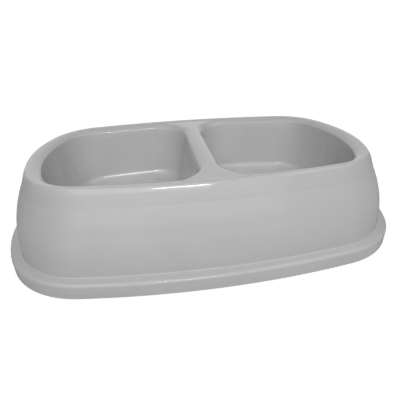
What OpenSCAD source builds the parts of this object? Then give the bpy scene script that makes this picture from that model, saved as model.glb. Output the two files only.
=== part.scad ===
// Double pet bowl: one moulded shell with two wells and a flanged base, on four push-in rubber feet.
// Origin: centre of the base on the floor. +X runs along the length, the front faces -Y, +Z is up.

/* [Outline] */
// Length of the base flange
body_length = 330; // [300:1:380]
// Width of the base flange
body_width = 207; // [190:1:235]
// Corner radius of the base outline
corner_r = 68.1; // [60:0.1:75]
// Turn of each half of the long bowed side, in degrees
side_turn = 8.4; // [5:0.1:12]
// Turn of each half of the short bowed end, in degrees
end_turn = 24; // [15:0.5:26]

/* [Skirt] */
// Height of the moulding, without its feet
body_height = 71.3; // [62:0.1:85]
// Height of the flange at the foot of the skirt
flange_height = 11.8; // [9:0.1:14]
// Width of the ledge on top of the flange
ledge_width = 7.5; // [6:0.1:11]
// Rounding of the flange's upper edge
flange_edge_r = 2.5; // [1:0.1:4]
// Fillet between the ledge and the skirt
skirt_fillet_r = 0.8; // [0.5:0.1:3]
// How far the skirt leans in from its foot to the shoulder
skirt_lean = 11.4; // [8:0.1:13]
// Wall thickness of the moulding
wall = 2.5; // [2:0.1:3]

/* [Rim] */
// Height of the rim's crest above the shoulder, where the skirt's barrel ends
bead_height = 12.8; // [11:0.2:15]
// Radius of the hollow between the barrel and the bead
hollow_r = 5; // [2:0.5:7]
// Lean of the bead's foot, in degrees from upright
bead_lean = 18; // [8:1:22]
// Width of the bead, from its foot in to the crest
bead_width = 6; // [4:0.2:7]
// How far the bead's rounding fills its corner: a lower share is flatter
bead_fullness = 0.8; // [0.6:0.05:1.2]
// Level width between the crest and the crown
rim_flat = 0.6; // [0.2:0.1:4]
// Radius of the crown that falls from the rim towards the wells
crown_r = 11.9; // [10:0.1:13]
// How far the crown turns down before its edge, in degrees
crown_turn = 45; // [40:1:55]
// Rounding of the edge between the crown and a well's wall
mouth_edge_r = 2; // [1.5:0.1:4]

/* [Wells] */
// Flat width on top of the bridge between the wells
bridge_width = 1.4; // [1:0.2:10]
// How far the bridge lies below the rim
bridge_drop = 1; // [0.4:0.1:2.5]
// Width over which the rim eases down to the bridge
bridge_ease = 4.5; // [1:0.5:8]
// Rounding of the wells' mouths beside the bridge
bridge_round = 8.8; // [6:0.2:9.4]
// Corner radius of each well beside the bridge
well_corner_r = 36; // [33:0.5:40]
// Slope of the well walls, in degrees from upright
well_draft = 9.5; // [5:0.5:11]
// Fillet around each well's floor
floor_fillet_r = 10; // [6:0.5:12]
// Height of each well's floor above the base of the moulding
floor_height = 17; // [12:0.5:22]

/* [Feet] */
// How far the rubber feet stand below the moulding
foot_proud = 1; // [0.6:0.1:2]
// Diameter of a foot's head
foot_diameter = 11; // [9:0.5:13]
// Thickness of a foot's head
foot_thickness = 2.4; // [2.2:0.1:3.5]
// Rounding of a foot's lower edge
foot_edge_r = 0.8; // [0.4:0.1:1]
// Diameter of a foot's stem
stem_diameter = 5; // [4:0.2:5.6]
// Length of a foot's stem
stem_length = 5; // [4:0.2:6]
// Gap all round and above the stem in its socket
stem_clearance = 0.05; // [0.02:0.01:0.1]
// Distance from the base outline to a foot's axis
foot_inset = 10.5; // [9.5:0.5:13]

/* [Hidden] */
$fn = 48;

// Segments along each arc of an outline
end_steps = 4;
corner_steps = 10;
side_steps = 3;
inner_steps = 8;
bridge_steps = 3;
divider_steps = 2;

// Segments up the rounded parts of the section
barrel_steps = 5;
bead_steps = 4;
edge_steps = 3;
crown_steps = 2;
mouth_steps = 4;
inside_steps = 2;

// Levels above the moulding's base
shoulder_z = body_height - bead_height;
barrel_z = flange_height + skirt_fillet_r;

// The barrel is one arc that starts upright; the hollow turns it back to the bead's foot
barrel_rise = shoulder_z - barrel_z;
barrel_r = (barrel_rise * barrel_rise + skirt_lean * skirt_lean) / (2 * skirt_lean);
barrel_turn = asin(barrel_rise / barrel_r);
hollow_inset = ledge_width + skirt_lean - hollow_r * cos(barrel_turn);
hollow_z = shoulder_z + hollow_r * sin(barrel_turn);

// Distances in from the base outline: the crest, the start of the crown and the centre of the mouth's edge
crest_inset = hollow_inset + hollow_r * cos(bead_lean) + bead_width;
well_inset = crest_inset + rim_flat;
edge_inset = well_inset + (crown_r - mouth_edge_r) * sin(crown_turn);
edge_z = body_height - crown_r + (crown_r - mouth_edge_r) * cos(crown_turn);

// The wall, carried on up to the rim's level, and the start of the softer rounding beside the bridge
sharp_inset = edge_inset + (mouth_edge_r - (body_height - edge_z) * sin(well_draft)) / cos(well_draft);
soft_inset = sharp_inset - bridge_round * tan((90 - well_draft) / 2);

// Arcs of the base outline: a bowed side, a corner and a bowed end, each tangent to the next
side_tan = tan(side_turn / 2);
end_tan = tan(end_turn / 2);
half_l = body_length / 2;
half_w = body_width / 2;
corner_x = (half_l - corner_r - end_tan * (half_w - corner_r)) / (1 - side_tan * end_tan);
corner_y = half_w - corner_r - side_tan * corner_x;
side_r = corner_r + corner_x / sin(side_turn);
end_r = corner_r + corner_y / sin(end_turn);
side_y = half_w - side_r;
end_x = half_l - end_r;

// The well's corner beside the bridge is tangent to its long side and to the straight divider
inner_x = bridge_width / 2 + well_corner_r;
inner_reach = side_r - soft_inset - well_corner_r;
inner_y = side_y + sqrt(inner_reach * inner_reach - inner_x * inner_x);
inner_start = atan2(inner_y - side_y, inner_x);

// A spoke is a point of an outline with the direction that it faces, as [x, y, angle]
function arc_spokes(x, y, r, from, to, steps) =
    [for (i = [0 : steps]) let (a = from + (to - from) * i / steps) [x + r * cos(a), y + r * sin(a), a]];
function backwards(list) = [for (i = [len(list) - 1 : -1 : 0]) list[i]];
function without_first(list) = [for (i = [1 : len(list) - 1]) list[i]];
function without_last(list) = [for (i = [0 : len(list) - 2]) list[i]];

// Quarter outlines, from the middle of the right end round to the bridge
shared_spokes = concat(
    arc_spokes(end_x, 0, end_r, 0, end_turn, end_steps),
    without_first(arc_spokes(corner_x, corner_y, corner_r, end_turn, 90 - side_turn, corner_steps)),
    without_first(arc_spokes(0, side_y, side_r, 90 - side_turn, inner_start, side_steps)));
rim_spokes = concat(
    shared_spokes,
    without_first(arc_spokes(0, side_y, side_r, inner_start, 90, bridge_steps)));
inner_spokes = concat(
    without_first(arc_spokes(inner_x, inner_y, well_corner_r, inner_start, 180, inner_steps)),
    [for (i = [1 : divider_steps]) [bridge_width / 2, inner_y * (1 - i / divider_steps), 180]]);

// The top is level along the rim and eases down onto the bridge
function ease(t) = t * t * (3 - 2 * t);
function limit(t) = min(1, max(0, t));
function top_z(x, y) =
    body_height - bridge_drop * ease(limit((side_r - soft_inset - norm([x, y - side_y])) / bridge_ease));

// Whole rows of points, counter-clockwise from above
function mirror_x(points) = backwards([for (p = points) [0 - p[0], p[1], p[2]]]);
function mirror_y(points) = backwards([for (p = points) [p[0], 0 - p[1], p[2]]]);
function close_row(half) = concat(half, mirror_y(without_first(without_last(half))));
function inset_point(spoke, inset, z) =
    [spoke[0] - inset * cos(spoke[2]), spoke[1] - inset * sin(spoke[2]), z];

// One row round the skirt, at a distance in from the base outline
function skirt_row(inset, z) =
    let (quarter = [for (s = rim_spokes) inset_point(s, inset, z)])
    close_row(concat(quarter, mirror_x(without_last(quarter))));

// The deck's outer row runs along the rim's crest and back down the middle of the bridge
middle_steps = inner_steps + divider_steps - bridge_steps;
crest_y = half_w - crest_inset;
function deck_row(below) = close_row(concat(
    [for (s = rim_spokes) inset_point(s, crest_inset, body_height - below)],
    [for (i = [1 : middle_steps]) let (y = crest_y * (1 - i / middle_steps)) [0, y, top_z(0, y) - below]]));

// One row round a well. Its point on the rim's section turns into that beside the bridge round the corner,
// and its height there is shared out below the top
function well_row(rim, soft, below) =
    let (base = floor_height - below, full = body_height - floor_height)
    close_row(concat(
        [for (s = shared_spokes) inset_point(s, rim[0], rim[1])],
        [for (s = inner_spokes)
            let (p = rim + (soft - rim) * ease((s[2] - inner_start) / (180 - inner_start)),
                z = base + (p[1] - base) * (top_z(s[0], s[1]) - floor_height) / full)
            inset_point(s, p[0] - soft_inset, z)]));

// The bead is a conic from its foot to the crest, moved in under the skin by a depth
function rim_bead(depth, steps) =
    let (foot = [hollow_inset + (hollow_r + depth) * cos(bead_lean),
                hollow_z - (hollow_r + depth) * sin(bead_lean)],
        crest = [crest_inset, body_height - depth],
        corner = [foot[0] + (crest[1] - foot[1]) * tan(bead_lean), crest[1]])
    [for (i = [0 : steps]) let (t = i / steps, a = (1 - t) * (1 - t), b = 2 * bead_fullness * t * (1 - t))
        (a * foot + b * corner + t * t * crest) / (a + b + t * t)];

// The barrel from its foot to the shoulder, moved in under the skin by a depth
function barrel(depth) =
    [for (i = [0 : barrel_steps]) let (a = barrel_turn * i / barrel_steps)
        [ledge_width + barrel_r - (barrel_r - depth) * cos(a), barrel_z + (barrel_r - depth) * sin(a)]];

// Section of the skirt as [inset, z]: down the inside from under the crest, then up the outside
skirt_section = concat(
    backwards(rim_bead(wall, inside_steps)),
    backwards(without_first(barrel(wall))),
    [[ledge_width + wall, flange_height - wall], [wall, flange_height - wall], [wall, 0], [0, 0]],
    [for (i = [0 : edge_steps]) let (a = 90 * i / edge_steps)
        [flange_edge_r * (1 - cos(a)), flange_height - flange_edge_r * (1 - sin(a))]],
    [for (i = [0 : edge_steps - 1]) let (a = 90 * i / edge_steps)
        [ledge_width - skirt_fillet_r * (1 - sin(a)), barrel_z - skirt_fillet_r * cos(a)]],
    barrel(0),
    rim_bead(0, bead_steps));

// Parts of a well's section as [inset, z]: crown and edge, the rounding beside the bridge, and the floor
rim_mouth = concat(
    [for (i = [0 : crown_steps]) let (a = crown_turn * i / crown_steps)
        [well_inset + crown_r * sin(a), body_height - crown_r * (1 - cos(a))]],
    [for (i = [1 : mouth_steps - crown_steps])
        let (a = crown_turn + (90 - well_draft - crown_turn) * i / (mouth_steps - crown_steps))
        [edge_inset + mouth_edge_r * sin(a), edge_z + mouth_edge_r * cos(a)]]);
function bridge_mouth(depth, steps) =
    [for (i = [0 : steps]) let (a = (90 - well_draft) * i / steps)
        [soft_inset + (bridge_round - depth) * sin(a),
            body_height - bridge_round + (bridge_round - depth) * cos(a)]];
floor_inset = sharp_inset + (body_height - floor_height - floor_fillet_r) * tan(well_draft)
    + floor_fillet_r / cos(well_draft);
function floor_fillet(depth, steps) =
    [for (i = [0 : steps]) let (a = well_draft + (90 - well_draft) * i / steps)
        [floor_inset - (floor_fillet_r + depth) * cos(a),
            floor_height + floor_fillet_r - (floor_fillet_r + depth) * sin(a)]];

// The shell's surface as patches, each a list of closed rows that follow the skin in one direction
skirt_patch = [for (p = skirt_section) skirt_row(p[0], p[1])];
top_rim = concat(rim_mouth, floor_fillet(0, edge_steps));
top_soft = concat(bridge_mouth(0, mouth_steps), floor_fillet(0, edge_steps));
top_patch = concat([deck_row(0)], [for (i = [0 : len(top_rim) - 1]) well_row(top_rim[i], top_soft[i], 0)]);
under_section = concat(bridge_mouth(wall, inside_steps), floor_fillet(wall, inside_steps));
under_patch = backwards(concat([deck_row(wall)], [for (p = under_section) well_row(p, p, wall)]));
patches = [
    skirt_patch,
    top_patch,
    [for (row = top_patch) mirror_x(row)],
    under_patch,
    [for (row = under_patch) mirror_x(row)]];

// Every patch is walked in quads, and each well's floor closes its last or first row
function first_index(k) = k == 0 ? 0 : first_index(k - 1) + len(patches[k - 1]) * len(patches[k - 1][0]);
function patch_faces(k) =
    let (first = first_index(k), rows = len(patches[k]), columns = len(patches[k][0]))
    [for (j = [0 : rows - 2], i = [0 : columns - 1])
        let (here = first + j * columns, above = here + columns, next = (i + 1) % columns)
        [here + i, above + i, above + next, here + next]];
function row_face(k, j) =
    let (columns = len(patches[k][0])) [for (i = [0 : columns - 1]) first_index(k) + j * columns + i];
last_top_row = len(top_patch) - 1;
shell_faces = concat(
    [for (k = [0 : len(patches) - 1], face = patch_faces(k)) face],
    [for (k = [1, 2]) backwards(row_face(k, last_top_row))],
    [for (k = [3, 4]) row_face(k, 0)]);

// Feet sit under the middle of each corner, on a boss that hangs from the ledge
foot_angle = (end_turn + 90 - side_turn) / 2;
foot_x = corner_x + (corner_r - foot_inset) * cos(foot_angle);
foot_y = corner_y + (corner_r - foot_inset) * sin(foot_angle);
foot_r = foot_diameter / 2;
stem_r = stem_diameter / 2;
boss_base = foot_thickness - foot_proud;
boss_top = flange_height - wall / 2;

socket_depth = stem_length + stem_clearance;

// The cut for a socket starts this far below its boss, so that it opens cleanly
socket_overrun = foot_thickness;

module shell() {
    polyhedron(points = [for (patch = patches, row = patch, p = row) p], faces = shell_faces);
}

module at_corners() {
    for (x = [-foot_x, foot_x], y = [-foot_y, foot_y])
        translate([x, y, 0])
            children();
}

module bowl_body() {
    color("#9a9a9b")
        translate([0, 0, foot_proud])
            difference() {
                union() {
                    shell();
                    at_corners()
                        translate([0, 0, boss_base])
                            cylinder(h = boss_top - boss_base, r = foot_r);
                }
                at_corners()
                    translate([0, 0, boss_base - socket_overrun])
                        cylinder(h = socket_depth + socket_overrun, r = stem_r + stem_clearance);
            }
}

// A rubber foot: a button head with a rounded lower edge and a plain stem
module foot(x, y) {
    color("#3b3b3c")
        translate([x, y, 0])
            rotate_extrude()
                polygon(concat(
                    [[0, 0]],
                    [for (i = [0 : edge_steps]) let (a = 90 * i / edge_steps)
                        [foot_r - foot_edge_r * (1 - sin(a)), foot_edge_r * (1 - cos(a))]],
                    [[foot_r, foot_thickness], [stem_r, foot_thickness],
                        [stem_r, foot_thickness + stem_length], [0, foot_thickness + stem_length]]));
}

module foot_front_left() {
    foot(-foot_x, -foot_y);
}

module foot_front_right() {
    foot(foot_x, -foot_y);
}

module foot_rear_left() {
    foot(-foot_x, foot_y);
}

module foot_rear_right() {
    foot(foot_x, foot_y);
}

bowl_body();
foot_front_left();
foot_front_right();
foot_rear_left();
foot_rear_right();
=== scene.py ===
# Double pet bowl: one glossy grey moulding with two wells, on four push-in rubber feet.
# Lengths are in millimetres and angles in degrees, unless a name or a comment says otherwise.
# Each outline is arcs that run on into each other, so a section drawn once is spun along all of them.
from math import asin, atan2, cos, degrees, hypot, pi, radians, sin, sqrt, tan

import bmesh
import bpy
from mathutils import Matrix, Vector


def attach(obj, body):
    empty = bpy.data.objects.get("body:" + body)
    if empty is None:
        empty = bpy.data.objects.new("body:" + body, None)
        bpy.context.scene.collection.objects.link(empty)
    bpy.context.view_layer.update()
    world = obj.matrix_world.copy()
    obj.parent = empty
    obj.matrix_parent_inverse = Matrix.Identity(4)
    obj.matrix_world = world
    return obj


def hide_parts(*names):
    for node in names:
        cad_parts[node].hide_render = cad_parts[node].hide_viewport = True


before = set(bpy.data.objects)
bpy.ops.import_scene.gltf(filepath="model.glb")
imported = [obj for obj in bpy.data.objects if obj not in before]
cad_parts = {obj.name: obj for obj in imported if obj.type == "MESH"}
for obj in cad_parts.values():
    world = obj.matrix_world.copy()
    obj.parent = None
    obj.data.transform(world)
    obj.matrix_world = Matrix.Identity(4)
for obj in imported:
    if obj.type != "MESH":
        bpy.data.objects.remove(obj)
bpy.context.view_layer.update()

# Units, and the distance under which two points count as one
MM = 0.001
SAME = 0.01
QUARTER = 90.0

# Base outline
BODY_LENGTH = 330.0
BODY_WIDTH = 207.0
CORNER_R = 68.1
SIDE_TURN = 8.4
END_TURN = 24.0

# Skirt
BODY_HEIGHT = 71.3
FLANGE_HEIGHT = 11.8
LEDGE_WIDTH = 7.5
FLANGE_EDGE_R = 2.5
SKIRT_FILLET_R = 0.8
SKIRT_LEAN = 11.4
WALL = 2.5
LIP_EDGE_R = 0.5
BEND_R = 0.8

# Rim
BEAD_HEIGHT = 12.8
HOLLOW_R = 5.0
BEAD_LEAN = 18.0
BEAD_WIDTH = 6.0
BEAD_FULLNESS = 0.8
RIM_FLAT = 0.6
CROWN_R = 11.9
CROWN_TURN = 45.0
MOUTH_EDGE_R = 2.0

# Wells
BRIDGE_WIDTH = 1.4
BRIDGE_ROUND = 8.8
BRIDGE_DROP = 1.0
BRIDGE_EASE = 4.5
WELL_CORNER_R = 36.0
WELL_DRAFT = 9.5
FLOOR_FILLET_R = 10.0
FLOOR_HEIGHT = 17.0

# Feet
FOOT_PROUD = 1.0
FOOT_DIAMETER = 11.0
FOOT_THICKNESS = 2.4
FOOT_EDGE_R = 0.8
STEM_DIAMETER = 5.0
STEM_LENGTH = 5.0
STEM_CLEARANCE = 0.05
FOOT_INSET = 10.5
RIBS = 3
RIB_DEPTH = 0.3
DIMPLE_R = 1.2
GROOVE_SHARE = 0.65
TIP_SHARE = 0.2

# Scratches and pale smears, as distances from the middle of a well's floor at which each starts to fade and
# has faded
SCRUB_FADE_START = 48.0
SCRUB_FADE_END = 66.0
SMEAR_FADE_START = 66.0
SMEAR_FADE_END = 84.0

# Camera
FRAME_PIXELS = 400
AXIS_PIXEL_X = 200.906
AXIS_PIXEL_Y = 184.754
FOCAL_PIXELS = 329.981
SENSOR = 36.0
CAMERA_AZIMUTH = -8.858
CAMERA_ELEVATION = 26.202
CAMERA_ROLL = -1.225
CAMERA_DISTANCE = 308.663
CAMERA_TARGET = (0.0, 0.0, 31.0)
CLIP_START = 10.0

# Studio. The floor's own glow rises from its lift under the bowl to full white further off
FLOOR_SIZE = 40000.0
FLOOR_LIFT = 0.75
LIFT_START = 250.0
LIFT_END = 900.0
WORLD_LEVEL = 0.09
LAMP_DISTANCE = 1400.0
LAMP_TARGET = (0.0, 0.0, 40.0)

# Reflections find the room white where they point mostly to the front or back, and dim elsewhere
DIM_LEVEL = 0.05
DIM_SHARE = 0.5
WHITE_SHARE = 0.88

# Levels above the floor that the feet stand on
BASE_Z = FOOT_PROUD
FLANGE_Z = BASE_Z + FLANGE_HEIGHT
SHOULDER_Z = BASE_Z + BODY_HEIGHT - BEAD_HEIGHT
BARREL_Z = FLANGE_Z + SKIRT_FILLET_R
TOP_Z = BASE_Z + BODY_HEIGHT
CROWN_Z = TOP_Z - CROWN_R
WELL_FLOOR_Z = BASE_Z + FLOOR_HEIGHT

# The skirt's barrel is one arc that starts upright. A hollow turns it back to the foot of the rim's bead
BARREL_RISE = SHOULDER_Z - BARREL_Z
BARREL_R = (BARREL_RISE ** 2 + SKIRT_LEAN ** 2) / (2 * SKIRT_LEAN)
BARREL_TURN = degrees(asin(BARREL_RISE / BARREL_R))
HOLLOW_INSET = LEDGE_WIDTH + SKIRT_LEAN - HOLLOW_R * cos(radians(BARREL_TURN))
HOLLOW_Z = SHOULDER_Z + HOLLOW_R * sin(radians(BARREL_TURN))
CREST_INSET = HOLLOW_INSET + HOLLOW_R * cos(radians(BEAD_LEAN)) + BEAD_WIDTH
WELL_INSET = CREST_INSET + RIM_FLAT

# The crown ends in a tight edge on to the wells' walls.
# Beside the bridge one soft rounding meets the same wall. The walls' draft is in radians here.
EDGE_INSET = WELL_INSET + (CROWN_R - MOUTH_EDGE_R) * sin(radians(CROWN_TURN))
EDGE_Z = CROWN_Z + (CROWN_R - MOUTH_EDGE_R) * cos(radians(CROWN_TURN))
DRAFT = radians(WELL_DRAFT)
SHARP_INSET = EDGE_INSET + (MOUTH_EDGE_R - (TOP_Z - EDGE_Z) * sin(DRAFT)) / cos(DRAFT)
SOFT_INSET = SHARP_INSET - BRIDGE_ROUND * tan(radians(QUARTER - WELL_DRAFT) / 2)

# Centres and radii of the base outline's bowed sides and ends
HALF_LENGTH = BODY_LENGTH / 2
HALF_WIDTH = BODY_WIDTH / 2
SIDE_TAN = tan(radians(SIDE_TURN / 2))
END_TAN = tan(radians(END_TURN / 2))
CORNER_X = (HALF_LENGTH - CORNER_R - END_TAN * (HALF_WIDTH - CORNER_R)) / (1 - SIDE_TAN * END_TAN)
CORNER_Y = HALF_WIDTH - CORNER_R - SIDE_TAN * CORNER_X
SIDE_R = CORNER_R + CORNER_X / sin(radians(SIDE_TURN))
END_R = CORNER_R + CORNER_Y / sin(radians(END_TURN))
SIDE_Y = HALF_WIDTH - SIDE_R
END_X = HALF_LENGTH - END_R

# Each well's corner beside the bridge runs from the bowed side into the straight divider
INNER_X = BRIDGE_WIDTH / 2 + WELL_CORNER_R
INNER_Y = SIDE_Y + sqrt((SIDE_R - SOFT_INSET - WELL_CORNER_R) ** 2 - INNER_X ** 2)
INNER_START = degrees(atan2(INNER_Y - SIDE_Y, INNER_X))

# The middle of each well, along the length
WELL_MIDDLE = (BRIDGE_WIDTH / 2 + HALF_LENGTH - SHARP_INSET) / 2

# The feet sit under the middle of each corner, in a direction that is given in radians
FOOT_ANGLE = radians((END_TURN + QUARTER - SIDE_TURN) / 2)
FOOT_X = CORNER_X + (CORNER_R - FOOT_INSET) * cos(FOOT_ANGLE)
FOOT_Y = CORNER_Y + (CORNER_R - FOOT_INSET) * sin(FOOT_ANGLE)
FOOT_R = FOOT_DIAMETER / 2
STEM_R = STEM_DIAMETER / 2
SOCKET_R = STEM_R + STEM_CLEARANCE
FOOT_PLACES = {
    "foot_front_left": (-FOOT_X, -FOOT_Y),
    "foot_front_right": (FOOT_X, -FOOT_Y),
    "foot_rear_left": (-FOOT_X, FOOT_Y),
    "foot_rear_right": (FOOT_X, FOOT_Y),
}

# How finely the outline's arcs are drawn
END_STEPS = 12
CORNER_STEPS = 28
SIDE_STEPS = 12
BRIDGE_STEPS = 24
MIDDLE_STEPS = 20
INNER_STEPS = BRIDGE_STEPS + MIDDLE_STEPS
DIVIDER_STEPS = 12
ROUND_STEPS = 48

# How finely the section is drawn
LIP_STEPS = 4
FLANGE_STEPS = 8
FILLET_STEPS = 8
BARREL_STEPS = 16
HOLLOW_STEPS = 6
BEAD_STEPS = 14
CROWN_STEPS = 8
EDGE_STEPS = 7
DECK_STEPS = 24
WELL_WALL_STEPS = 6
FLOOR_FILLET_STEPS = 12
UNDER_BARREL_STEPS = 10
UNDER_HOLLOW_STEPS = 4
UNDER_DECK_STEPS = 4
FOOT_EDGE_STEPS = 6

# Edges sharper than this stay crisp
SHARP_ANGLE = 40.0


def ease(share):
    """A smooth step from 0 to 1."""
    share = min(1.0, max(0.0, share))
    return share * share * (3 - 2 * share)


def arc(x, z, across, up, start, end, steps):
    """Points of an arc or ellipse round a centre, from one angle to the other."""
    angles = [radians(start + (end - start) * i / steps) for i in range(steps + 1)]
    return [(x + across * cos(a), z + up * sin(a)) for a in angles]


def conic(start, corner, end, fullness, steps):
    """Points of a conic that leaves one point and reaches another along the lines to their shared corner."""
    points = []
    for i in range(steps + 1):
        share = i / steps
        weights = ((1 - share) ** 2, 2 * fullness * share * (1 - share), share ** 2)
        points.append(tuple(sum(w * p[k] for w, p in zip(weights, (start, corner, end))) / sum(weights)
                            for k in (0, 1)))
    return points


def rounded(before, corner, after, radius, steps, growth=0.0):
    """The arc that rounds a corner between two straight lines. Growth widens it round the same centre."""
    corner = Vector(corner)
    back = (Vector(before) - corner).normalized()
    on = (Vector(after) - corner).normalized()
    half = back.angle(on) / 2
    middle = corner + (back + on).normalized() * radius / sin(half)
    start = corner + back * radius / tan(half) - middle
    end = corner + on * radius / tan(half) - middle
    turn = start.angle_signed(end)
    start *= 1 + growth / radius
    return [tuple(middle + Matrix.Rotation(-turn * i / steps, 2) @ start) for i in range(steps + 1)]


def straight(start, end, steps):
    """Points along a straight line, without its first."""
    return [(start[0] + (end[0] - start[0]) * i / steps, start[1] + (end[1] - start[1]) * i / steps)
            for i in range(1, steps + 1)]


def rim_mouth():
    """The rim's crown and the edge where it turns down into a well, as insets and heights."""
    turned = QUARTER - CROWN_TURN
    crown = arc(WELL_INSET, CROWN_Z, CROWN_R, CROWN_R, QUARTER, turned, CROWN_STEPS)
    edge = arc(EDGE_INSET, EDGE_Z, MOUTH_EDGE_R, MOUTH_EDGE_R, turned, WELL_DRAFT, EDGE_STEPS)
    return crown + edge[1:]


def bridge_mouth(depth):
    """The bridge's rounding down into a well, moved in under the skin, as insets and heights."""
    radius = BRIDGE_ROUND - depth
    steps = CROWN_STEPS + EDGE_STEPS
    return arc(SOFT_INSET, TOP_Z - BRIDGE_ROUND, radius, radius, QUARTER, WELL_DRAFT, steps)


def well_section(mouth, depth):
    """A well from its mouth down to its floor, with the wall moved in under the skin."""
    sharp = (SHARP_INSET, TOP_Z)
    foot = (SHARP_INSET + (TOP_Z - WELL_FLOOR_Z) * tan(DRAFT), WELL_FLOOR_Z)
    fillet = rounded(sharp, foot, (HALF_WIDTH, WELL_FLOOR_Z), FLOOR_FILLET_R, FLOOR_FILLET_STEPS, depth)
    return mouth + straight(mouth[-1], fillet[0], WELL_WALL_STEPS) + fillet[1:]


def rim_bead(foot, depth):
    """The rim's bead from its foot up to the crest, moved in under the skin, as insets and heights."""
    top_z = TOP_Z - depth
    corner = (foot[0] + (top_z - foot[1]) * tan(radians(BEAD_LEAN)), top_z)
    return conic(foot, corner, (CREST_INSET, top_z), BEAD_FULLNESS, BEAD_STEPS)


def skirt_outside():
    """The outer skin from the lip's lower edge up to the rim's crest, as insets and heights."""
    ledge_end = (LEDGE_WIDTH, FLANGE_Z)
    lip = rounded((WALL, BASE_Z), (0, BASE_Z), (0, FLANGE_Z), LIP_EDGE_R, LIP_STEPS)
    edge = rounded((0, BASE_Z), (0, FLANGE_Z), ledge_end, FLANGE_EDGE_R, FLANGE_STEPS)
    fillet = rounded((0, FLANGE_Z), ledge_end, (LEDGE_WIDTH, TOP_Z), SKIRT_FILLET_R, FILLET_STEPS)
    barrel = arc(LEDGE_WIDTH + BARREL_R, BARREL_Z, -BARREL_R, BARREL_R, 0, BARREL_TURN, BARREL_STEPS)
    hollow = arc(HOLLOW_INSET, HOLLOW_Z, HOLLOW_R, -HOLLOW_R, BARREL_TURN, BEAD_LEAN, HOLLOW_STEPS)
    return lip + edge + fillet + barrel[1:] + hollow[1:] + rim_bead(hollow[-1], 0)[1:]


def skirt_inside():
    """The inner skin from under the crest down to the lip, as insets and heights."""
    hollow_r = HOLLOW_R + WALL
    hollow = arc(HOLLOW_INSET, HOLLOW_Z, hollow_r, -hollow_r, BEAD_LEAN, BARREL_TURN, UNDER_HOLLOW_STEPS)
    bead = rim_bead(hollow[0], WALL)[::-1]
    barrel_x = LEDGE_WIDTH + WALL
    barrel_r = BARREL_R - WALL
    barrel = arc(LEDGE_WIDTH + BARREL_R, BARREL_Z, -barrel_r, barrel_r, BARREL_TURN, 0, UNDER_BARREL_STEPS)
    under_z = FLANGE_Z - WALL
    bend = rounded((barrel_x, BARREL_Z), (barrel_x, under_z), (WALL, under_z), BEND_R, LIP_STEPS)
    corner = rounded((barrel_x, under_z), (WALL, under_z), (WALL, BASE_Z), BEND_R, LIP_STEPS)
    lip = rounded((WALL, under_z), (WALL, BASE_Z), (0, BASE_Z), LIP_EDGE_R, LIP_STEPS)
    return bead + hollow[1:] + barrel[1:] + bend + corner + lip


def select_where(piece, test):
    """Selects the vertices whose place in millimetres passes the test, with the edges between them."""
    bpy.ops.mesh.select_all(action="DESELECT")
    mesh = bmesh.from_edit_mesh(piece.data)
    for vertex in mesh.verts:
        if test(*(vertex.co / MM)):
            vertex.select_set(True)
    mesh.select_flush_mode()
    bmesh.update_edit_mesh(piece.data)


def one_vertex(name, x, y, z):
    """Starts a piece in edit mode from a small plane that is merged to one vertex."""
    bpy.ops.object.select_all(action="DESELECT")
    bpy.ops.mesh.primitive_plane_add(size=MM, location=(0, 0, 0))
    piece = bpy.context.object
    piece.name = name
    piece.data.name = name
    bpy.ops.object.mode_set(mode="EDIT")
    bpy.ops.mesh.select_mode(type="VERT")
    bpy.ops.mesh.select_all(action="SELECT")
    bpy.ops.mesh.merge(type="CENTER")
    bpy.ops.transform.translate(value=(x * MM, y * MM, z * MM))
    return piece


def extrude(x, y, z):
    """Extrudes the selected vertices or edges by a distance in millimetres."""
    bpy.ops.mesh.extrude_region_move(TRANSFORM_OT_translate={"value": (x * MM, y * MM, z * MM)})


def draw_section(name, x, points):
    """Draws a section in the plane y = 0 as one chain of edges. Its points are insets from x and heights."""
    piece = one_vertex(name, x - points[0][0], 0, points[0][1])
    for (inset, z), (next_inset, next_z) in zip(points, points[1:]):
        extrude(inset - next_inset, 0, next_z - z)
    return piece


def spin(x, y, angle, steps):
    """Sweeps the selection about an upright axis, counter-clockwise from above."""
    bpy.ops.mesh.spin(steps=steps, angle=radians(-angle), center=(x * MM, y * MM, 0), axis=(0, 0, 1))


def side_inset(x, y):
    """How far a point lies in from the bowed side of the base outline."""
    return SIDE_R - hypot(x, y - SIDE_Y)


def side_angle(x, y):
    """The direction of a point from the centre of the bowed side."""
    return degrees(atan2(y - SIDE_Y, x))


def beside_bridge(x, y):
    """How far a point lies in from the well's outline beside the bridge, and how far round its corner."""
    if y < INNER_Y:
        return x - BRIDGE_WIDTH / 2, 1.0
    turn = degrees(atan2(y - INNER_Y, x - INNER_X))
    share = (turn - INNER_START) / (2 * QUARTER - INNER_START)
    return WELL_CORNER_R - hypot(x - INNER_X, y - INNER_Y), ease(share)


def inward(x, y):
    """The direction into the well, square to its outline beside the bridge."""
    if y < INNER_Y:
        return Vector((1, 0))
    return Vector((INNER_X - x, INNER_Y - y)).normalized()


def soften_mouth(piece):
    """Turns the mouth's crisp edge into the bridge's soft rounding, gradually round the well's corner."""
    moves = [(Vector(rim), Vector(soft) - Vector(rim)) for rim, soft in zip(rim_mouth(), bridge_mouth(0))]
    mesh = bmesh.from_edit_mesh(piece.data)
    for vertex in mesh.verts:
        x, y, z = vertex.co / MM
        if side_angle(x, y) > INNER_START:
            depth, share = beside_bridge(x, y)
            for rim, move in moves:
                if (rim - Vector((SOFT_INSET + depth, z))).length < SAME:
                    sideways = inward(x, y) * move.x * share * MM
                    vertex.co += Vector((sideways.x, sideways.y, move.y * share * MM))
                    break
    bmesh.update_edit_mesh(piece.data)


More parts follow.
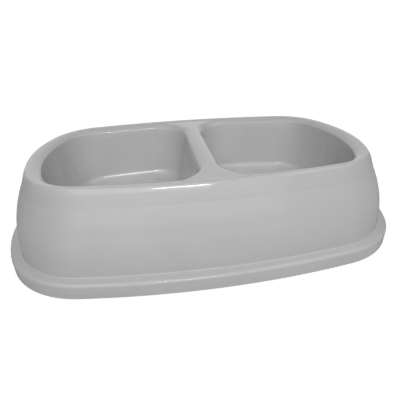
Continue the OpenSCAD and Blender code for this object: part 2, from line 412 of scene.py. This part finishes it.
def lower_bridge(piece):
    """Eases the rim down onto the bridge, and draws the wells' walls down with it."""
    for vertex in piece.data.vertices:
        x, y, z = vertex.co / MM
        if side_angle(x, y) > INNER_START and z > WELL_FLOOR_Z:
            depth = max(0.0, beside_bridge(x, y)[0])
            top = Vector((x, y)) - inward(x, y) * depth
            fall = BRIDGE_DROP * ease((side_inset(*top) - SOFT_INSET) / BRIDGE_EASE)
            vertex.co.z -= fall * (z - WELL_FLOOR_Z) / (TOP_Z - WELL_FLOOR_Z) * MM


def on_last_spoke(x, y):
    """Whether a point lies on the spoke where the well leaves the bowed side."""
    return abs(side_angle(x, y) - INNER_START) * radians(SIDE_R) < SAME


def bridge_deck(piece, z, steps, rim_start):
    """Closes the top or the underside of the bridge between the rim's crest and the well's mouth."""
    crest_y = HALF_WIDTH - CREST_INSET
    select_where(piece, lambda *at: (Vector(at) - Vector((0, crest_y, z))).length < SAME)
    for i in range(MIDDLE_STEPS):
        extrude(0, (INNER_Y - crest_y) / MIDDLE_STEPS, 0)
    for i in range(DIVIDER_STEPS):
        extrude(0, -INNER_Y / DIVIDER_STEPS, 0)

    def on_edge(x, y, at_z):
        if abs(at_z - z) > SAME or side_angle(x, y) < INNER_START - SAME / SIDE_R:
            return False
        depth, share = beside_bridge(x, y)
        on_crest = abs(side_inset(x, y) - CREST_INSET) < SAME or abs(x) < SAME
        return on_crest or abs(depth - (rim_start - SOFT_INSET) * (1 - share)) < SAME

    select_where(piece, on_edge)
    bpy.ops.mesh.bridge_edge_loops(type="SINGLE", number_cuts=steps - 1, interpolation="LINEAR")


def apply_modifier(piece, modifier):
    """Applies one modifier to the piece's mesh."""
    bpy.context.view_layer.objects.active = piece
    bpy.ops.object.modifier_apply(modifier=modifier.name)


def make_moulding():
    """The one-piece shell, as a quarter that is spun along its outline and then mirrored."""
    under_z = TOP_Z - WALL
    under_well = well_section(bridge_mouth(WALL), WALL)[::-1]
    section = (under_well
               + straight(under_well[-1], (CREST_INSET, under_z), UNDER_DECK_STEPS)
               + skirt_inside()[1:]
               + skirt_outside()
               + straight((CREST_INSET, TOP_Z), (WELL_INSET, TOP_Z), DECK_STEPS)
               + well_section(rim_mouth(), 0)[1:])
    piece = draw_section("bowl_moulding", HALF_LENGTH, section)
    bpy.ops.mesh.select_all(action="SELECT")
    spin(END_X, 0, END_TURN, END_STEPS)
    spin(CORNER_X, CORNER_Y, QUARTER - SIDE_TURN - END_TURN, CORNER_STEPS)
    spin(0, SIDE_Y, INNER_START - (QUARTER - SIDE_TURN), SIDE_STEPS)
    select_where(piece, lambda x, y, z: on_last_spoke(x, y) and side_inset(x, y) < CREST_INSET + SAME)
    spin(0, SIDE_Y, QUARTER - INNER_START, BRIDGE_STEPS)
    select_where(piece, lambda x, y, z: on_last_spoke(x, y) and side_inset(x, y) > (
        SOFT_INSET if abs(z - under_z) < SAME else WELL_INSET) - SAME)
    spin(INNER_X, INNER_Y, 2 * QUARTER - INNER_START, INNER_STEPS)
    for i in range(DIVIDER_STEPS):
        extrude(0, -INNER_Y / DIVIDER_STEPS, 0)
    soften_mouth(piece)
    bridge_deck(piece, TOP_Z, DECK_STEPS, WELL_INSET)
    bridge_deck(piece, under_z, UNDER_DECK_STEPS, SOFT_INSET)
    bpy.ops.mesh.select_all(action="SELECT")
    bpy.ops.mesh.remove_doubles(threshold=SAME * MM)
    bpy.ops.object.mode_set(mode="OBJECT")
    lower_bridge(piece)
    mirror = piece.modifiers.new("other_quarters", "MIRROR")
    mirror.use_axis = (True, True, False)
    mirror.merge_threshold = SAME * MM
    apply_modifier(piece, mirror)
    bpy.ops.object.mode_set(mode="EDIT")
    bpy.ops.mesh.select_all(action="SELECT")
    bpy.ops.mesh.fill_holes(sides=0)
    bpy.ops.mesh.select_all(action="SELECT")
    bpy.ops.mesh.normals_make_consistent(inside=False)
    bpy.ops.object.mode_set(mode="OBJECT")
    return piece


def add_bosses(piece):
    """Joins a boss with a socket to the underside of the ledge above each foot."""
    boss_top = FLANGE_Z - WALL / 2
    for x, y in FOOT_PLACES.values():
        bpy.ops.object.select_all(action="DESELECT")
        bpy.ops.mesh.primitive_cylinder_add(
            vertices=ROUND_STEPS, radius=FOOT_R * MM, depth=(boss_top - FOOT_THICKNESS) * MM,
            location=(x * MM, y * MM, (boss_top + FOOT_THICKNESS) / 2 * MM))
        boss = bpy.context.object
        bpy.ops.object.transform_apply(location=True, rotation=False, scale=False)
        bpy.ops.object.mode_set(mode="EDIT")
        select_where(boss, lambda at_x, at_y, z: z < FOOT_THICKNESS + SAME)
        bpy.ops.mesh.inset(thickness=(FOOT_R - SOCKET_R) * MM)
        extrude(0, 0, STEM_LENGTH + STEM_CLEARANCE)
        bpy.ops.object.mode_set(mode="OBJECT")
        union = piece.modifiers.new("boss", "BOOLEAN")
        union.operation = "UNION"
        union.solver = "MANIFOLD"
        union.object = boss
        apply_modifier(piece, union)
        bpy.data.objects.remove(boss)


def make_foot():
    """One rubber foot about the upright axis: a ribbed button head and a stem with a chamfered tip."""
    tip = STEM_R * TIP_SHARE
    head = [(0.0, RIB_DEPTH), (DIMPLE_R, RIB_DEPTH)]
    for i in range(RIBS):
        inner = DIMPLE_R + (FOOT_R - FOOT_EDGE_R - DIMPLE_R) * i / RIBS
        outer = DIMPLE_R + (FOOT_R - FOOT_EDGE_R - DIMPLE_R) * (i + 1) / RIBS
        groove = inner + (outer - inner) * GROOVE_SHARE
        land = [(inner + RIB_DEPTH / 2, 0.0), (groove, 0.0)]
        head += land if i == 0 else [(inner, RIB_DEPTH)] + land
        if i < RIBS - 1:
            head.append((groove + RIB_DEPTH / 2, RIB_DEPTH))
    edge = arc(FOOT_R - FOOT_EDGE_R, FOOT_EDGE_R, FOOT_EDGE_R, FOOT_EDGE_R, 3 * QUARTER, 4 * QUARTER,
               FOOT_EDGE_STEPS)
    shank = [(FOOT_R, FOOT_THICKNESS), (STEM_R, FOOT_THICKNESS),
             (STEM_R, FOOT_THICKNESS + STEM_LENGTH - tip), (STEM_R - tip, FOOT_THICKNESS + STEM_LENGTH),
             (0.0, FOOT_THICKNESS + STEM_LENGTH)]
    outline = head[:-1] + edge + shank
    foot = draw_section("foot", 0, [(-x, z) for x, z in outline])
    bpy.ops.mesh.select_all(action="SELECT")
    spin(0, 0, 4 * QUARTER, ROUND_STEPS)
    bpy.ops.mesh.select_all(action="SELECT")
    bpy.ops.mesh.remove_doubles(threshold=SAME * MM)
    bpy.ops.mesh.normals_make_consistent(inside=False)
    bpy.ops.object.mode_set(mode="OBJECT")
    return foot


def colour(code):
    """Turns an sRGB hex colour into the linear values that Blender's sockets take."""
    parts = [int(code[i:i + 2], 16) / 255 for i in (1, 3, 5)]
    linear = [part / 12.92 if part <= 0.04045 else ((part + 0.055) / 1.055) ** 2.4 for part in parts]
    return tuple(linear) + (1,)


def per_size(size):
    """The scale that gives a pattern features of that size in millimetres."""
    return 1 / (size * MM)


def add_node(tree, kind, inputs=None, **settings):
    """Adds a node with its settings. An input that is given a socket is linked to it."""
    node = tree.nodes.new(kind)
    for name, value in settings.items():
        setattr(node, name, value)
    for name, value in (inputs or {}).items():
        if isinstance(value, bpy.types.NodeSocket):
            tree.links.new(value, node.inputs[name])
        else:
            node.inputs[name].default_value = value
    return node


def new_material(name):
    """An empty node material, with its tree."""
    material = bpy.data.materials.new(name)
    material.use_nodes = True
    material.node_tree.nodes.clear()
    return material, material.node_tree


def moulding_material():
    """Polypropylene, injection-moulded in a polished mould: a glossy grey skin, wavy and faintly pebbled."""
    material, tree = new_material("polypropylene_moulded_gloss")
    place = add_node(tree, "ShaderNodeTexCoord").outputs["Object"]

    # How near a place is to the middle of a well's floor, in either well
    folded = add_node(tree, "ShaderNodeVectorMath", {0: place}, operation="ABSOLUTE")
    reach = add_node(tree, "ShaderNodeVectorMath", {
        0: folded.outputs["Vector"], 1: (WELL_MIDDLE * MM, 0.0, WELL_FLOOR_Z * MM)}, operation="DISTANCE")

    # The pigment flowed unevenly, which gives broad and very faint lighter and darker areas
    flow = add_node(tree, "ShaderNodeTexNoise", {
        "Vector": place, "Scale": per_size(45), "Detail": 5.0, "Roughness": 0.55})
    grey = add_node(tree, "ShaderNodeMix", {
        "Factor": flow.outputs["Fac"], "A": colour("#bebebf"), "B": colour("#c4c4c5")}, data_type="RGBA")

    # A pale haze lightens the colour in slanting smears, most of all on the wells' walls
    slant = add_node(tree, "ShaderNodeMapping", {
        "Vector": place, "Rotation": (0.0, 0.6, 0.9), "Scale": (1.0, 3.0, 1.0)})
    smear = add_node(tree, "ShaderNodeTexNoise", {
        "Vector": slant.outputs["Vector"], "Scale": per_size(40), "Detail": 5.0, "Roughness": 0.6})
    smears = add_node(tree, "ShaderNodeMapRange", {
        "Value": smear.outputs["Fac"], "From Min": 0.5, "From Max": 0.72})
    smear_reach = add_node(tree, "ShaderNodeMapRange", {
        "Value": reach.outputs["Value"], "From Min": SMEAR_FADE_START * MM, "From Max": SMEAR_FADE_END * MM,
        "To Min": 0.4, "To Max": 0.1})
    haze = add_node(tree, "ShaderNodeMath", {
        0: smears.outputs["Result"], 1: smear_reach.outputs["Result"]}, operation="MULTIPLY")
    hazed = add_node(tree, "ShaderNodeMix", {
        "Factor": haze.outputs[0], "A": grey.outputs["Result"], "B": colour("#d8d8d8")}, data_type="RGBA")

    # The wells' floors are scrubbed most: fine scratches there, drawn wider than real ones so that they show
    scrubbed = add_node(tree, "ShaderNodeMapRange", {
        "Value": reach.outputs["Value"], "From Min": SCRUB_FADE_START * MM, "From Max": SCRUB_FADE_END * MM,
        "To Min": 1.0, "To Max": 0.0})
    strokes = add_node(tree, "ShaderNodeMapping", {
        "Vector": place, "Rotation": (0.0, 0.0, 0.5), "Scale": (1.0, 16.0, 1.0)})
    lines = add_node(tree, "ShaderNodeTexNoise", {
        "Vector": strokes.outputs["Vector"], "Scale": per_size(20), "Detail": 3.0, "Distortion": 0.4})
    fine = add_node(tree, "ShaderNodeMapRange", {
        "Value": lines.outputs["Fac"], "From Min": 0.56, "From Max": 0.7})
    scratches = add_node(tree, "ShaderNodeMath", {
        0: fine.outputs["Result"], 1: scrubbed.outputs["Result"]}, operation="MULTIPLY")
    worn = add_node(tree, "ShaderNodeMath", {0: scratches.outputs[0], 1: 0.12}, operation="MULTIPLY")
    tone = add_node(tree, "ShaderNodeMix", {
        "Factor": worn.outputs[0], "A": hazed.outputs["Result"], "B": colour("#dcdcdc")}, data_type="RGBA")

    # The haze and the scratches are also duller than the clean skin
    clean = add_node(tree, "ShaderNodeMapRange", {
        "Value": flow.outputs["Fac"], "From Min": 0.3, "From Max": 0.7, "To Min": 0.05, "To Max": 0.09})
    dulled = add_node(tree, "ShaderNodeMath", {
        0: haze.outputs[0], 1: 0.1, 2: clean.outputs["Result"]}, operation="MULTIPLY_ADD")
    gloss = add_node(tree, "ShaderNodeMath", {
        0: scratches.outputs[0], 1: 0.04, 2: dulled.outputs[0]}, operation="MULTIPLY_ADD")

    # The skin sank a little as it cooled, and carries the mould's fine orange peel
    sink = add_node(tree, "ShaderNodeTexNoise", {
        "Vector": place, "Scale": per_size(40), "Detail": 1.0, "Roughness": 0.4})
    waves = add_node(tree, "ShaderNodeBump", {
        "Height": sink.outputs["Fac"], "Strength": 0.3, "Distance": 1.0 * MM})
    peel = add_node(tree, "ShaderNodeTexNoise", {
        "Vector": place, "Scale": per_size(3), "Detail": 2.0, "Roughness": 0.5})
    grain = add_node(tree, "ShaderNodeBump", {
        "Height": peel.outputs["Fac"], "Strength": 0.1, "Distance": 0.05 * MM,
        "Normal": waves.outputs["Normal"]})
    grooves = add_node(tree, "ShaderNodeBump", {
        "Height": scratches.outputs[0], "Strength": 0.1, "Distance": 0.05 * MM,
        "Normal": grain.outputs["Normal"]}, invert=True)
    skin = add_node(tree, "ShaderNodeBsdfPrincipled", {
        "Base Color": tone.outputs["Result"], "Roughness": gloss.outputs[0],
        "Normal": grooves.outputs["Normal"], "IOR": 1.49})
    add_node(tree, "ShaderNodeOutputMaterial", {"Surface": skin.outputs["BSDF"]})
    return material


def feet_material():
    """Thermoplastic rubber, moulded in an etched mould: dark, matt and slightly dusty."""
    material, tree = new_material("rubber_moulded_matt")
    place = add_node(tree, "ShaderNodeTexCoord").outputs["Object"]
    dust = add_node(tree, "ShaderNodeTexNoise", {
        "Vector": place, "Scale": per_size(3), "Detail": 6.0, "Roughness": 0.65})
    tone = add_node(tree, "ShaderNodeMix", {
        "Factor": dust.outputs["Fac"], "A": colour("#2c2c2d"), "B": colour("#3f3f40")}, data_type="RGBA")
    gloss = add_node(tree, "ShaderNodeMapRange", {
        "Value": dust.outputs["Fac"], "From Min": 0.3, "From Max": 0.7, "To Min": 0.6, "To Max": 0.8})
    etching = add_node(tree, "ShaderNodeTexNoise", {
        "Vector": place, "Scale": per_size(0.5), "Detail": 3.0})
    grain = add_node(tree, "ShaderNodeBump", {
        "Height": etching.outputs["Fac"], "Strength": 0.4, "Distance": 0.05 * MM})
    skin = add_node(tree, "ShaderNodeBsdfPrincipled", {
        "Base Color": tone.outputs["Result"], "Roughness": gloss.outputs["Result"],
        "Normal": grain.outputs["Normal"], "IOR": 1.52})
    add_node(tree, "ShaderNodeOutputMaterial", {"Surface": skin.outputs["BSDF"]})
    return material


def shown_level(tree, direction):
    """How bright the background shows: white to the camera, and in reflections dim beside and overhead."""
    path = add_node(tree, "ShaderNodeLightPath").outputs
    pointing = add_node(tree, "ShaderNodeVectorMath", {0: direction}, operation="NORMALIZE")
    along = add_node(tree, "ShaderNodeSeparateXYZ", {0: pointing.outputs["Vector"]}).outputs["Y"]
    share = add_node(tree, "ShaderNodeMath", {0: along}, operation="ABSOLUTE")
    room = add_node(tree, "ShaderNodeMapRange", {
        "Value": share.outputs[0], "From Min": DIM_SHARE, "From Max": WHITE_SHARE,
        "To Min": DIM_LEVEL, "To Max": 1.0})
    bent = add_node(tree, "ShaderNodeMath", {
        0: path["Is Glossy Ray"], 1: path["Is Transmission Ray"]}, operation="MAXIMUM")
    mirrored = add_node(tree, "ShaderNodeMath", {
        0: bent.outputs[0], 1: room.outputs["Result"]}, operation="MULTIPLY")
    return add_node(tree, "ShaderNodeMath", {
        0: path["Is Camera Ray"], 1: mirrored.outputs[0]}, operation="MAXIMUM").outputs[0]


def make_world():
    """A plain surround, white to the camera, that lights the bowl only a little: the lamps do the rest."""
    world = bpy.data.worlds.new("studio")
    bpy.context.scene.world = world
    world.use_nodes = True
    tree = world.node_tree
    tree.nodes.clear()
    direction = add_node(tree, "ShaderNodeTexCoord").outputs["Generated"]
    strength = add_node(tree, "ShaderNodeMapRange", {
        "Value": shown_level(tree, direction), "To Min": WORLD_LEVEL, "To Max": 1.0})
    surround = add_node(tree, "ShaderNodeBackground", {"Strength": strength.outputs["Result"]})
    surround.inputs["Color"].default_value = colour("#ffffff")
    add_node(tree, "ShaderNodeOutputWorld", {"Surface": surround.outputs["Background"]})


def make_floor():
    """A plain floor of pale card, which keeps the bowl's soft shadow and is white further off."""
    bpy.ops.object.select_all(action="DESELECT")
    bpy.ops.mesh.primitive_plane_add(size=FLOOR_SIZE * MM, location=(0, 0, 0))
    floor = bpy.context.object
    floor.name = "studio_floor"
    material, tree = new_material("floor_pale_card")
    card = add_node(tree, "ShaderNodeBsdfDiffuse", {"Color": colour("#b8b8b8")})
    place = add_node(tree, "ShaderNodeTexCoord").outputs["Object"]
    distance = add_node(tree, "ShaderNodeVectorMath", {0: place}, operation="LENGTH")
    lift = add_node(tree, "ShaderNodeMapRange", {
        "Value": distance.outputs["Value"], "From Min": LIFT_START * MM, "From Max": LIFT_END * MM,
        "To Min": FLOOR_LIFT, "To Max": 1.0})
    shown = add_node(tree, "ShaderNodeMath", {0: shown_level(tree, place), 1: lift.outputs["Result"]},
                     operation="MULTIPLY")
    glow = add_node(tree, "ShaderNodeEmission", {"Strength": shown.outputs[0]})
    both = add_node(tree, "ShaderNodeAddShader", {0: card.outputs[0], 1: glow.outputs[0]})
    add_node(tree, "ShaderNodeOutputMaterial", {"Surface": both.outputs[0]})
    floor.data.materials.append(material)


def make_lamp(name, azimuth, elevation, width, height, level, mirrored=True):
    """A lamp that lights a surface facing it to a given level. Azimuth 0 is the front, 90 the right."""
    data = bpy.data.lights.new(name, "AREA")
    data.shape = "RECTANGLE"
    data.size = width * MM
    data.size_y = height * MM
    data.energy = level * (pi * LAMP_DISTANCE * MM) ** 2
    turn, rise = radians(azimuth), radians(elevation)
    away = Vector((sin(turn) * cos(rise), -cos(turn) * cos(rise), sin(rise)))
    lamp = bpy.data.objects.new(name, data)
    bpy.context.collection.objects.link(lamp)
    lamp.visible_camera = False
    lamp.visible_glossy = mirrored
    lamp.location = (Vector(LAMP_TARGET) + away * LAMP_DISTANCE) * MM
    lamp.rotation_euler = away.to_track_quat("Z", "Y").to_euler()


def make_camera():
    """The photograph's camera, from a fit to the bowl's outlines in a frame of 400 by 400 pixels."""
    data = bpy.data.cameras.new("photo_camera")
    data.sensor_width = SENSOR
    data.lens = SENSOR * FOCAL_PIXELS / FRAME_PIXELS
    data.shift_x = (FRAME_PIXELS / 2 - AXIS_PIXEL_X) / FRAME_PIXELS
    data.shift_y = (AXIS_PIXEL_Y - FRAME_PIXELS / 2) / FRAME_PIXELS
    data.clip_start = CLIP_START * MM
    turn, rise, roll = radians(CAMERA_AZIMUTH), radians(CAMERA_ELEVATION), radians(CAMERA_ROLL)
    back = Vector((sin(turn) * cos(rise), -cos(turn) * cos(rise), sin(rise)))
    level = Vector((cos(turn), sin(turn), 0))
    upright = back.cross(level)
    right = cos(roll) * level + sin(roll) * upright
    up = cos(roll) * upright - sin(roll) * level
    camera = bpy.data.objects.new("photo_camera", data)
    bpy.context.collection.objects.link(camera)
    camera.rotation_euler = Matrix((right, up, back)).transposed().to_euler()
    camera.location = (Vector(CAMERA_TARGET) + back * CAMERA_DISTANCE) * MM
    bpy.context.scene.camera = camera


def finish_piece(piece, name, node, material):
    """Names a finished piece, gives it its material, and puts it in the place of its CAD node."""
    piece.name = name
    piece.data.name = name
    piece.data.materials.clear()
    piece.data.materials.append(material)
    bpy.ops.object.select_all(action="DESELECT")
    piece.select_set(True)
    bpy.context.view_layer.objects.active = piece
    bpy.ops.object.shade_smooth_by_angle(angle=radians(SHARP_ANGLE))
    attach(piece, "root")
    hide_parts(node)


moulding = make_moulding()
add_bosses(moulding)
finish_piece(moulding, "bowl_moulding", "bowl_body", moulding_material())

rubber = feet_material()
first_foot = make_foot()
for node, (foot_x, foot_y) in FOOT_PLACES.items():
    foot = first_foot.copy()
    foot.data = first_foot.data.copy()
    bpy.context.collection.objects.link(foot)
    foot.data.transform(Matrix.Translation((foot_x * MM, foot_y * MM, 0)))
    finish_piece(foot, node + "_rubber", node, rubber)
bpy.data.objects.remove(first_foot)

make_floor()
make_world()

# Each lamp has its azimuth, elevation, width, height and level. The fill at the back shows in no reflection
make_lamp("key_softbox", -15, 42, 1100, 900, 0.23)
make_lamp("front_softbox", 0, 26, 1600, 900, 0.13)
make_lamp("left_softbox", -65, 50, 900, 900, 0.16)
make_lamp("right_softbox", 60, 52, 900, 900, 0.24)
make_lamp("strip_lamp", 0, 36, 380, 60, 0.18)
make_lamp("back_fill", 180, 15, 1400, 900, 0.15, mirrored=False)
make_camera()
bpy.context.scene.view_settings.view_transform = "Standard"
